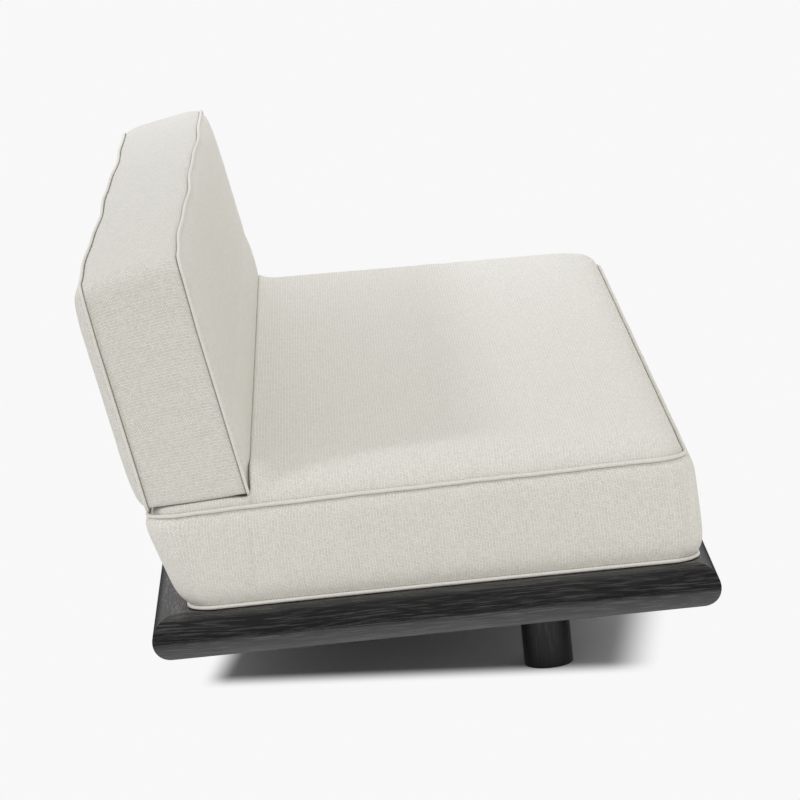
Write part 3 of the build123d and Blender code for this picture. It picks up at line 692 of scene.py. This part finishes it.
# %% Sizes of the cushions
(_, base_front, _), (base_end, _, base_top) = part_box("front_rail")
base_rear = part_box("rear_rail")[1][1]
welt_radius, welt_gap, rest_gap = 0.0035, 0.0002, 0.0003
welt_out = (welt_radius + welt_gap) / np.sqrt(2)
seat_half = base_end - 0.038
seat_front_low, seat_rear_low = base_front + 0.030, base_rear - 0.065
seat_front_top, seat_rear_top = base_front + 0.037, base_rear - 0.015
seat_boxing, seat_corner, seat_rake = 0.152, 0.042, np.radians(0.9)
seat_swell, seat_end_swell = 0.014, 0.009
seat_crown, seat_crown_reach, pressed_reach, end_squash = 0.062, 0.105, 0.030, 0.006
seat_crest_rake, lip_height, lip_reach, press_fade = np.radians(-1.2), 0.004, 0.016, 0.03
belly_reach, end_draw_in, seam_unevenness = 0.025, 0.004, 0.0006
belly_depth = welt_out + welt_radius
seam_low = base_top + rest_gap + belly_depth
seam_rear = seam_low + seat_boxing

back_lean = np.radians(10.8)
lean_sine, lean_cosine = np.sin(back_lean), np.cos(back_lean)
back_half = base_end - 0.042
back_thickness, back_height, back_front_drop = 0.160, 0.377, 0.023
back_top_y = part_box("back_rear_piping")[1][1] - welt_radius - welt_out * (lean_cosine + lean_sine)
back_top_z = (
    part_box("back_front_piping")[1][2] - welt_radius
    - (back_thickness + welt_out) * lean_sine - welt_out * lean_cosine
)


def in_back(across, forward, up):
    """A place in the back: across the sofa, forward from its rear seam, up from its top seam."""
    y = back_top_y - forward * lean_cosine + up * lean_sine
    z = back_top_z + forward * lean_sine + up * lean_cosine
    return np.stack(np.broadcast_arrays(across, y, z), axis=-1)


print("seat", round(2 * seat_half, 3), "m long, back leaning", round(np.degrees(back_lean), 1), "degrees")

# %% [markdown]
# The back's weight presses a flat into the rear third of the seat and leaves a low lip in front of
# it. The solver could find that by contact, but a plain limit under the back's cords is exact and
# leaves no gap.

# %% Press of the back
back_cord, back_cord_out = 0.0028, 0.0020
press_front = in_back(0, back_thickness + back_cord_out, -back_height - back_front_drop - back_cord_out)
press_rear = in_back(0, -back_cord_out, -back_height - back_cord_out)
press_slope = (press_rear[2] - press_front[2]) / (press_rear[1] - press_front[1])
press_drop = back_cord + rest_gap
press_line = press_front[1] - press_drop
between_cords, hump_start, hump_power = 0.0046, 0.008, 6


def pressed(places, under):
    """Keeps the seat out of the back: the points under it stay below the slope of its cords, with a
    hump between them, and the others stay in front of the line where its face stands."""
    y = np.where(under, places[:, 1], np.minimum(places[:, 1], press_line))
    share = np.clip((y - press_line - hump_start) / (press_rear[1] - press_line - hump_start), 0, 1)
    hump = between_cords * (1 - (2 * share - 1) ** hump_power)
    limit = np.where(under, press_front[2] - press_drop + press_slope * (y - press_line) + hump, np.inf)
    return np.column_stack([places[:, 0], y, np.minimum(places[:, 2], limit)])


print("the back's face stands at y", round(float(press_line), 4))

# %% [markdown]
# The seat's faces are grids with lines wherever something changes: round the corners, along the
# foot of the back, and at the two lined slots that let the back's posts through. The bottom grid
# has the same lines, drawn in to the smaller outline of the bottom seam.

# %% Seat faces
post_x = (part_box("right_post")[0][0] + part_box("right_post")[1][0]) / 2
lining_low, lining_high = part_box("seat_slot_linings")
slot_half = lining_high[0] - post_x
slot_columns = [-post_x - slot_half, -post_x + slot_half, post_x - slot_half, post_x + slot_half]
slot_rows = [lining_low[1], lining_high[1]]
edge_steps = np.array([0, 0.004, 0.012, 0.025, seat_corner])
columns = spread([*(edge_steps - seat_half), *slot_columns, *(seat_half - edge_steps[::-1])])
press_rows = press_line + np.array([-0.005, -0.0006, 0.0006])
top_rows = spread([*(seat_front_top + edge_steps), *press_rows, *slot_rows, seat_rear_top])
top_stops = [seat_front_top, *slot_rows, seat_rear_top]
low_rows = np.interp(top_rows, top_stops, [seat_front_low, *slot_rows, seat_rear_low])
middle_rows = (top_rows + low_rows) / 2
middle_ends = middle_rows[[0, -1]]
waist_rows = np.interp(middle_rows, middle_ends, middle_ends + [-seat_swell, seat_swell])
waist_columns = columns * (seat_half + seat_end_swell) / seat_half


def seat_sheet(columns, rows, rise):
    """An outline of the seat with a height over every point."""
    x, y = outline_grid(columns, rows, (seat_corner, seat_corner), end_draw_in)
    return np.stack([x, y, rise(y)], axis=-1)


def top_height(y):
    """The plane of the top seam, which falls to the rear by the rake."""
    return seam_rear + (seat_rear_top - y) * np.tan(seat_rake)


seat_top = seat_sheet(columns, top_rows, top_height)
crest = seat_crown + seat_top[..., 1] * (np.tan(seat_rake) - np.tan(seat_crest_rake))
under_back = np.clip((top_rows - press_line) / press_fade + 1, 0, 1)
end_reach = seat_crown_reach + (pressed_reach - seat_crown_reach) * under_back
seat_rise = crown(columns, top_rows, seat_crown_reach, end_reach)
to_back = np.clip(1 + (top_rows - press_line) / lip_reach, 0, 1)
near_back = np.where(top_rows < press_line, to_back ** 2, 0)
seat_top[..., 2] += (crest + lip_height * near_back) * seat_rise
squash = 4 * end_squash * under_back * seat_rise * (1 - seat_rise)
seat_top[..., 0] += np.sign(seat_top[..., 0]) * squash
seat_low = seat_sheet(columns, low_rows, lambda y: np.full_like(y, seam_low))
seat_low[..., 2] -= belly_depth * crown(columns, low_rows, belly_reach)
seat_waist = seat_sheet(waist_columns, waist_rows, lambda y: (seam_low + top_height(y)) / 2)
seat_top_edge = rim(np.arange(seat_top[..., 0].size).reshape(seat_top.shape[:2]))
seat_points = seat_top.reshape(-1, 3)
seat_points[seat_top_edge, 2] += seam_waver(seat_points[seat_top_edge], seam_unevenness)
slot_ends = [np.argmin(abs(columns - column)) for column in slot_columns]
slot_sides = [np.argmin(abs(top_rows - row)) for row in slot_rows]
slot_blocks = [(*slot_ends[:2], *slot_sides), (*slot_ends[2:], *slot_sides)]
print("seat faces of", len(columns), "by", len(top_rows), "corners")

# %% [markdown]
# The cover is closed, pressed, filled and pressed again, and it takes the place of the frame's
# plain cover and foam. Its weave is measured along the pressed face, so that the step under the
# back shows the same threads as the rest.

# %% Seat cover
seat_band_squares, seat_powers = 12, (6, 12)
pressed_top = pressed(seat_points, seat_points[:, 1] > press_line)
seat_cloth = face_cloth(pressed_top.reshape(seat_top.shape))[..., ::-1]
seat_cushion, seat_seams, seat_base, seat_slots = boxed_cushion(
    "seat_cushion", seat_top, seat_cloth, seat_waist, seat_low,
    seat_band_squares, seat_powers, seat_weave, slot_blocks,
)
unpressed = corner_places(seat_cushion.data)
under = unpressed[:, 1] > press_line
set_places(seat_cushion, pressed(unpressed, under))
filled = fill_cover(seat_cushion, seat_seams + [seat_base] + seat_slots)
set_places(seat_cushion, pressed(filled, under))
set_places(seat_cushion, make_room(corner_places(seat_cushion.data), "seat_zip"))
subdivide(seat_cushion)
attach(seat_cushion, "seat_cushion")
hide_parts("seat_cover", "seat_foam")

# %% [markdown]
# The back is a second boxed cushion, built lying in its own leaning plane and then stood up by
# in_back. Its front face is crowned for the sitter, its rear face only a little, and the strip
# between them turns over the top corners in one soft round.

# %% Back cushion
back_corner, back_foot_corner = 0.028, 0.008
back_swell, back_end_swell, foot_bulge, foot_bulge_reach = 0.008, 0.002, 0.005, 0.14
back_band_squares, back_powers = 12, (7, 7)
seam_waves = ((0.0019, 8, 0.6), (0.0011, 17, 2.2))
back_front_crown, back_rear_crown, front_reach, rear_reach = 0.018, 0.026, 0.143, 0.10
column_stops = np.array([back_half - back_corner, back_half - back_foot_corner, back_half])
back_columns = spread([*-column_stops[::-1], *column_stops])
foot = -back_height - back_front_drop
front_rows = spread([foot, foot + back_foot_corner, foot + back_corner, -back_corner, 0])
height_share = front_rows / foot
rear_rows = -height_share * back_height
waist_ups = back_swell - height_share * (back_height + back_front_drop / 2 + back_swell)
back_waist_columns = back_columns * (back_half + back_end_swell) / back_half
over_foot = np.clip((front_rows - foot) / foot_bulge_reach, 0, 1)
front_depth = back_front_crown + 4 * foot_bulge * over_foot * (1 - over_foot)


def back_sheet(columns, rows, forward):
    """An outline of the back, each point some way forward from the rear seam."""
    x, up = outline_grid(columns, rows, (back_foot_corner, back_corner), end_draw_in)
    return in_back(x, forward, up)


back_front = back_sheet(
    back_columns, front_rows, back_thickness + front_depth * crown(back_columns, front_rows, front_reach)
)
back_rear = back_sheet(back_columns, rear_rows, -back_rear_crown * crown(back_columns, rear_rows, rear_reach))
back_waist = back_sheet(back_waist_columns, waist_ups, back_thickness / 2)
back_edge = rim(np.arange(back_front[..., 0].size).reshape(back_front.shape[:2]))
top_quarter = back_height / 4
for sheet in (back_front, back_rear):
    seam = sheet.reshape(-1, 3)[back_edge]
    top_share = np.clip(1 + (seam[:, 2] - back_top_z) / top_quarter, 0, 1)
    waves = sum(size * np.sin(pace * seam[:, 0] + start) for size, pace, start in seam_waves)
    sheet.reshape(-1, 3)[back_edge, 1] += top_share * waves
back_cushion, back_seams, _, _ = boxed_cushion(
    "back_cushion", back_front, face_cloth(back_front), back_waist, back_rear,
    back_band_squares, back_powers, back_weave_painted_shade,
)
seat_crest_height = top_height(press_line) + seat_crown


def clear_of_seat(places):
    """Keeps the foot of the back's face behind the seat's rise, and lets it lean out above that."""
    over = np.clip(places[:, 2] - seat_crest_height, 0, None)
    return np.column_stack([places[:, 0], np.maximum(places[:, 1], press_line - over), places[:, 2]])


set_places(back_cushion, clear_of_seat(fill_cover(back_cushion, back_seams)))
set_places(back_cushion, make_room(corner_places(back_cushion.data), "back_zip"))
subdivide(back_cushion)
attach(back_cushion, "backrest")
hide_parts("back_cover", "back_front_foam", "back_rear_foam")

# %% [markdown]
# Piping is a cord in a bias strip of the cover cloth, sewn into the seam. A bevelled curve would
# do, but a ring of circles swept along the seam itself keeps the cord tight to the cushion and
# lets the weave wind round it at 45 degrees.


# %% Piping
def welt(name, node, sheet, outward_push, axis_push, edge, radius, axis, body, sides=10):
    """A tube round the edge of a sheet: each point of the edge becomes a circle across the path."""
    ring = sheet.reshape(-1, 3)[edge]
    ahead = np.roll(ring, -1, axis=0) - np.roll(ring, 1, axis=0)
    ahead /= np.linalg.norm(ahead, axis=1, keepdims=True)
    outward = np.cross(ahead, axis)
    outward /= np.linalg.norm(outward, axis=1, keepdims=True)
    path = ring + outward * outward_push + axis * axis_push
    turn = np.linspace(0, 2 * np.pi, sides, endpoint=False)
    circle = np.cos(turn)[:, None, None] * outward + np.sin(turn)[:, None, None] * axis
    points = path + radius * circle
    numbers = np.arange(sides * len(ring)).reshape(sides, len(ring))
    quads = strip_quads(np.concatenate([numbers, numbers[:1]])).reshape(-1, 4)
    along = ring_length(path)
    flat = strip_cloth(along, np.linspace(0, 2 * np.pi * radius, sides + 1)).reshape(-1, 4, 2)
    bias = np.stack([flat[..., 0] + flat[..., 1], flat[..., 0] - flat[..., 1]], axis=-1) / np.sqrt(2)
    cord = mesh_piece(name, points.reshape(-1, 3), quads, bias, welt_cloth)
    subdivide(cord)
    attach(cord, body)
    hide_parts(node)
    print(name, "is", round(float(along[-1]), 2), "m long")


up_axis = np.array([0.0, 0.0, 1.0])
back_axis = np.array([0.0, -lean_cosine, lean_sine])
on_seat = (seat_top_edge, welt_radius, up_axis, "seat_cushion")
on_back = (back_edge, back_cord, back_axis, "backrest")
seat_cord_gap, seat_cord_angle = 0.00075, np.radians(30)
seat_cord_out = (welt_radius + seat_cord_gap) * np.cos(seat_cord_angle)
seat_cord_up = (welt_radius + seat_cord_gap) * np.sin(seat_cord_angle)
welt("seat_top_welt", "seat_top_piping", seat_top, seat_cord_out, seat_cord_up, *on_seat)
welt("seat_low_welt", "seat_bottom_piping", seat_low, welt_out, -welt_out, *on_seat)
welt("back_front_welt", "back_front_piping", back_front, back_cord_out, back_cord_out, *on_back)
welt("back_rear_welt", "back_rear_piping", back_rear, back_cord_out, -back_cord_out, *on_back)

# %% [markdown]
# The base is open-grained wood, wire-brushed and stained black. The grain group lays long
# streaks and short pores along the X axis of whatever it is given, so a Mapping node can turn
# it along each rail and up each leg.

# %% Grain group
tree, entry, leave = new_group("open grain", {"Wood": "NodeSocketVector"}, ("Streak", "Pore"))
sway_pace, band_pace, fibre_pace, dash_pace = (1.6, 9, 9), (2.2, 90, 90), (17, 480, 480), (22, 620, 620)
sway_size, band_part, fibre_part = 0.05, 0.2, 0.8
streak_range, pore_range = (0.50, 0.61), (0.50, 0.66)
sway = stretched_noise(tree, entry["Wood"], sway_pace, 1.0)
sway_both = place(tree, "ShaderNodeCombineXYZ", {1: sway, 2: sway}).outputs[0]
swayed = reckon_vectors(tree, "MULTIPLY_ADD", sway_both, (0, sway_size, sway_size), entry["Wood"])
bands = stretched_noise(tree, swayed, band_pace, 3.0)
fibres = stretched_noise(tree, swayed, fibre_pace, 3.0)
dashes = stretched_noise(tree, swayed, dash_pace, 2.0)
streak = scaled(tree, fibres, fibre_part, scaled(tree, bands, band_part))
tree.links.new(ramp(tree, streak, *streak_range), leave.inputs["Streak"])
tree.links.new(ramp(tree, dashes, *pore_range), leave.inputs["Pore"])
grain = tree
print("grain group with", len(grain.nodes), "nodes")

# %% [markdown]
# One function makes every wood from the grain group. A recipe gives the two stain colours, the
# turn that lays the grain along the piece, roughness, bump, and where they differ the shade in the
# pores and the gloss.


# %% Wood finishes
def wood_finish(name, dark, pale, turn, roughness, bump, pore_shade=0.7, gloss=0.9):
    """Wood between two colours along its streaks, darker and deeper in its pores."""
    material, tree = new_material(name)
    spot = place(tree, "ShaderNodeTexCoord").outputs["Object"]
    turned = place(tree, "ShaderNodeMapping", {"Vector": spot, "Rotation": turn}).outputs[0]
    streak, pore = place(tree, "ShaderNodeGroup", {"Wood": turned}, node_tree=grain).outputs
    colour = blend_colours(tree, streak, dark, pale)
    lit = scaled(tree, pore, -pore_shade, 1.0)
    shaded = reckon_vectors(tree, "MULTIPLY", colour, lit)
    depth = reckon(tree, "SUBTRACT", scaled(tree, streak, 0.5), pore)
    end_material(tree, depth, 0.7, bump, {
        "Base Color": shaded, "Specular IOR Level": gloss,
        "Roughness": ramp(tree, streak, 0, 1, roughness + 0.08, roughness - 0.06),
    })
    return material


along_x, along_y, along_z = (0, 0, 0), (0, 0, np.pi / 2), (0, np.pi / 2, 0)
stain_dark, stain_pale = (0.0055, 0.0055, 0.0058), (0.052, 0.050, 0.0475)
wood_recipes = {
    "long rail wood": (stain_dark, stain_pale, along_x, 0.22, 0.00008),
    "end rail wood": (stain_dark, stain_pale, along_y, 0.22, 0.00008),
    "leg wood": ((0.0050, 0.0050, 0.0050), (0.0065, 0.0065, 0.0064), along_z, 0.30, 0.00002, 0.7, 0.6),
    "bearer wood": (stain_dark, (0.024, 0.024, 0.023), along_y, 0.55, 0.0003),
    "deck wood": ((0.008, 0.008, 0.008), (0.026, 0.026, 0.025), along_x, 0.55, 0.0002),
    "bare timber": ((0.48, 0.33, 0.19), (0.64, 0.47, 0.29), along_x, 0.6, 0.0003, 0.2),
    "stile timber": ((0.47, 0.33, 0.19), (0.63, 0.47, 0.29), along_z, 0.6, 0.0003, 0.2),
    "plywood": ((0.50, 0.36, 0.22), (0.66, 0.50, 0.32), along_x, 0.55, 0.0002, 0.15),
}
finishes = {name: wood_finish(name, *recipe) for name, recipe in wood_recipes.items()}
print("wood finishes:", ", ".join(finishes))

# %% [markdown]
# Metal and plastic fittings share one quiet effect, a fine mottle that breaks up their colour
# and gloss: spangle on zinc plate, orange peel on powder coat, drag marks on nylon.

# %% Fitting finishes
tree, entry, leave = new_group(
    "mottle", {"Spot": "NodeSocketVector", "Grain": "NodeSocketFloat"}, ("Fleck", "Peel")
)
fine = {"Vector": entry["Spot"], "Scale": entry["Grain"], "Detail": 3.0}
coarse = {"Vector": entry["Spot"], "Scale": scaled(tree, entry["Grain"], 0.2), "Detail": 2.0}
clouds = place(tree, "ShaderNodeTexNoise", coarse).outputs[0]
tree.links.new(ramp(tree, clouds, 0.35, 0.65), leave.inputs["Fleck"])
tree.links.new(place(tree, "ShaderNodeTexNoise", fine).outputs[0], leave.inputs["Peel"])
mottle = tree


def fitting_finish(name, dark, pale, grain_scale, roughness, metallic, bump):
    """A metal or plastic whose colour and gloss wander between two values."""
    material, tree = new_material(name)
    spot = place(tree, "ShaderNodeTexCoord").outputs["Object"]
    feeds = {"Spot": spot, "Grain": grain_scale}
    fleck, peel = place(tree, "ShaderNodeGroup", feeds, node_tree=mottle).outputs
    end_material(tree, peel, 0.5, bump, {
        "Base Color": blend_colours(tree, fleck, dark, pale), "Metallic": metallic,
        "Roughness": ramp(tree, fleck, 0, 1, roughness + 0.06, roughness - 0.06),
    })
    return material


fitting_recipes = {
    "zip nickel": ((0.50, 0.49, 0.47), (0.64, 0.63, 0.61), 900, 0.40, 0.6, 0.00005),
    "zinc plate": ((0.48, 0.48, 0.47), (0.66, 0.66, 0.65), 500, 0.35, 1.0, 0.00008),
    "powder coat": ((0.012, 0.012, 0.012), (0.022, 0.022, 0.022), 700, 0.5, 0.0, 0.0001),
    "nylon": ((0.014, 0.014, 0.014), (0.03, 0.03, 0.03), 300, 0.55, 0.0, 0.0001),
}
finishes.update({name: fitting_finish(name, *recipe) for name, recipe in fitting_recipes.items()})
print("fitting finishes:", ", ".join(fitting_recipes))

# %% [markdown]
# Every hard piece of the frame is dressed by name. A rule by shape would be shorter, but a list
# shows at a glance which piece wears what.

# %% Dress the frame
finishes.update({"zip tape": zip_tape, "slot lining": lining_cloth})
wearers = {
    "long rail wood": ["front_rail", "rear_rail"],
    "end rail wood": ["left_rail", "right_rail"],
    "leg wood": ["front_left_leg", "front_right_leg", "rear_left_leg", "rear_right_leg"],
    "bearer wood": ["left_outer_bearer", "left_inner_bearer", "right_inner_bearer", "right_outer_bearer"],
    "deck wood": ["deck_panel", "corner_blocks"],
    "bare timber": ["mitre_splines", "back_top_rail", "back_bottom_rail"],
    "stile timber": ["back_left_stile", "back_middle_stile", "back_right_stile"],
    "plywood": ["back_panel"],
    "zinc plate": ["deck_screws", "leg_plates", "plate_screws", "hanger_bolts", "socket_screws",
                   "post_bolts", "post_nuts"],
    "powder coat": ["post_sockets", "left_post", "right_post"],
    "nylon": ["glides"],
    "zip nickel": ["seat_zip_slider", "seat_zip_pull", "back_zip_slider", "back_zip_pull"],
    "zip tape": ["seat_zip", "back_zip"],
    "slot lining": ["seat_slot_linings"],
}
for name, members in wearers.items():
    for member in members:
        for holder in nodes[member].material_slots:
            holder.material = finishes[name]
print("dressed", sum(len(members) for members in wearers.values()), "nodes of the frame")
